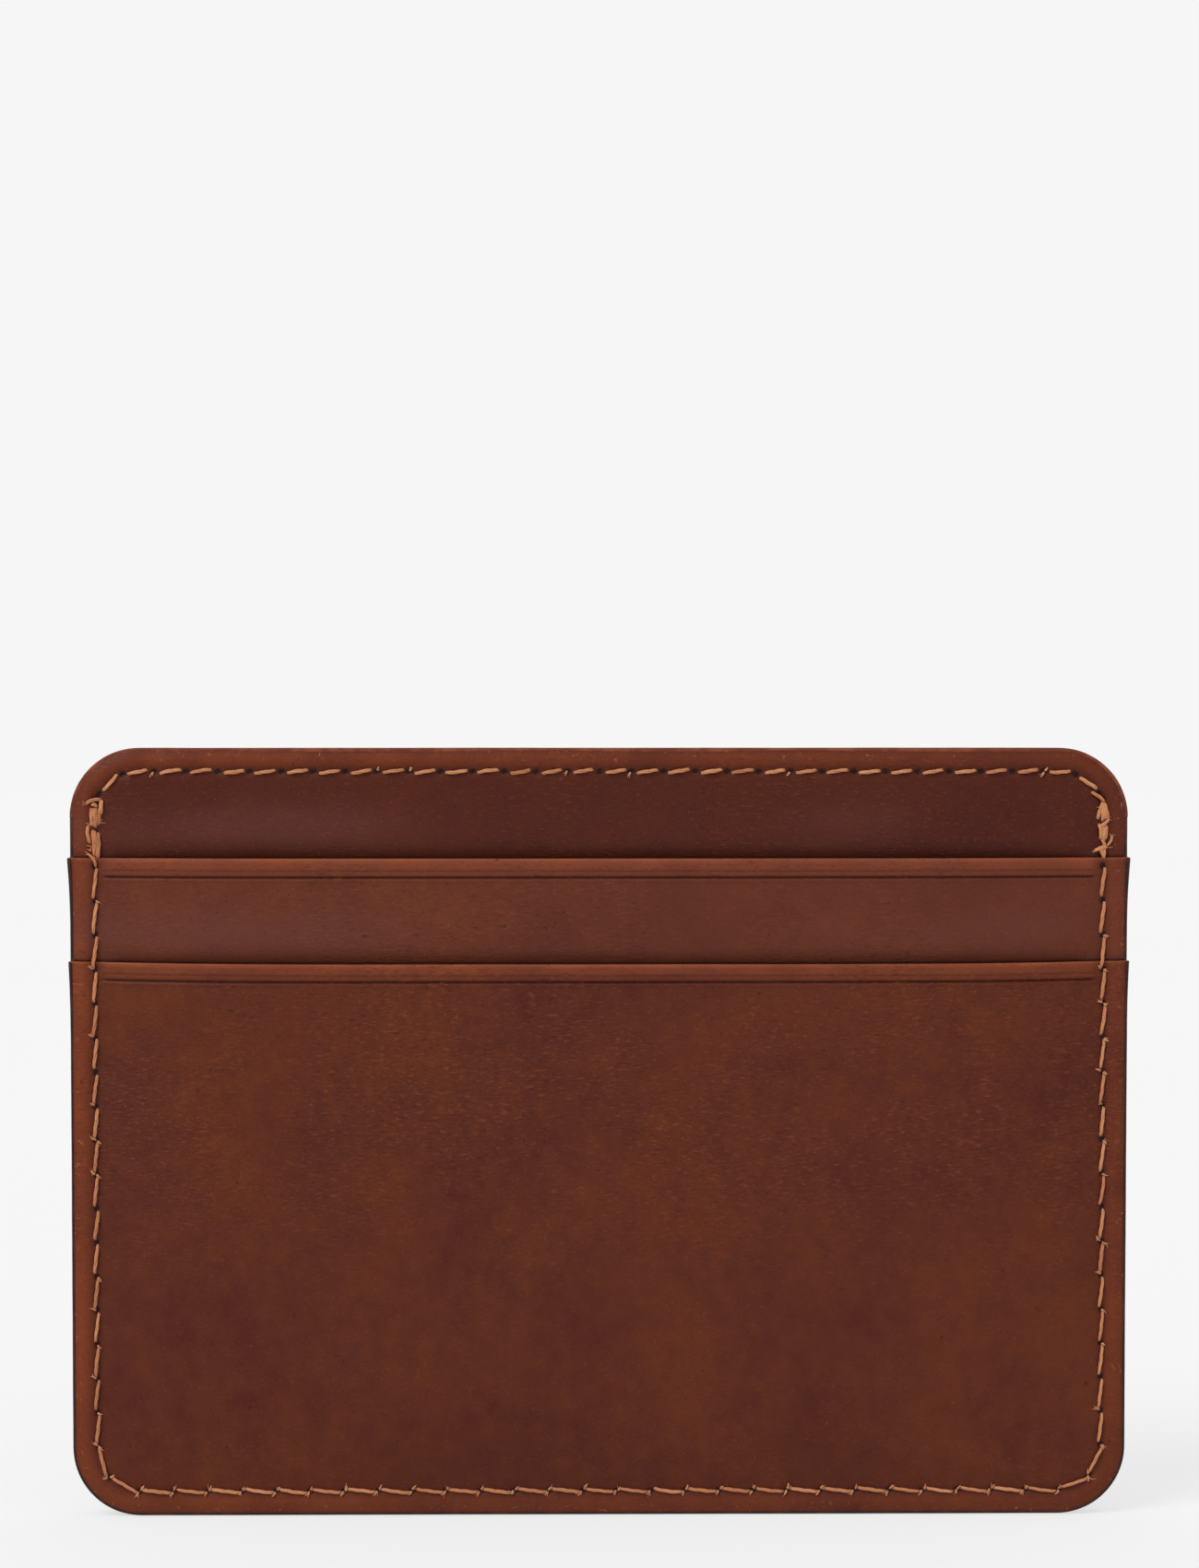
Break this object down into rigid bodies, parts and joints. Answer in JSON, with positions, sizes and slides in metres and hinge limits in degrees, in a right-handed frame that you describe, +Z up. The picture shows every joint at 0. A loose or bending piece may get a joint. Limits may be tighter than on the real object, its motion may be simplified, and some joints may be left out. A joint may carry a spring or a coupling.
{
  "type": "card holder",
  "caption": "Slim stitched leather card holder with stepped card slots on each face and a lined middle compartment that opens at the top.",
  "frame": {"origin": "middle of the bottom edge that it stands on", "axes": "+X across the width, +Z up towards the open top, front face towards -Y"},
  "size_m": [0.0996, 0.0074, 0.0725],
  "materials": {
    "leather": "smooth waxed, soft sheen",
    "lining": "fine plain weave",
    "thread": "twisted polyester thread",
    "edge_coat": "dark edge paint, satin"
  },
  "bodies": {
    "root": {"front_lining": "lining", "front_panel": "leather", "front_upper_pocket": "leather", "front_lower_pocket": "leather", "front_slot_floor_seam": "thread", "front_top_seam": "thread", "front_perimeter_seam": "thread", "front_top_edge_coat": "edge_coat", "back_lining": "lining", "back_panel": "leather", "back_upper_pocket": "leather", "back_lower_pocket": "leather", "back_slot_floor_seam": "thread", "back_top_seam": "thread", "back_perimeter_seam": "thread", "back_top_edge_coat": "edge_coat", "left_backtack": "thread", "left_edge_coat": "edge_coat", "right_backtack": "thread", "right_edge_coat": "edge_coat", "bottom_edge_coat": "edge_coat"}
  },
  "joints": []
}
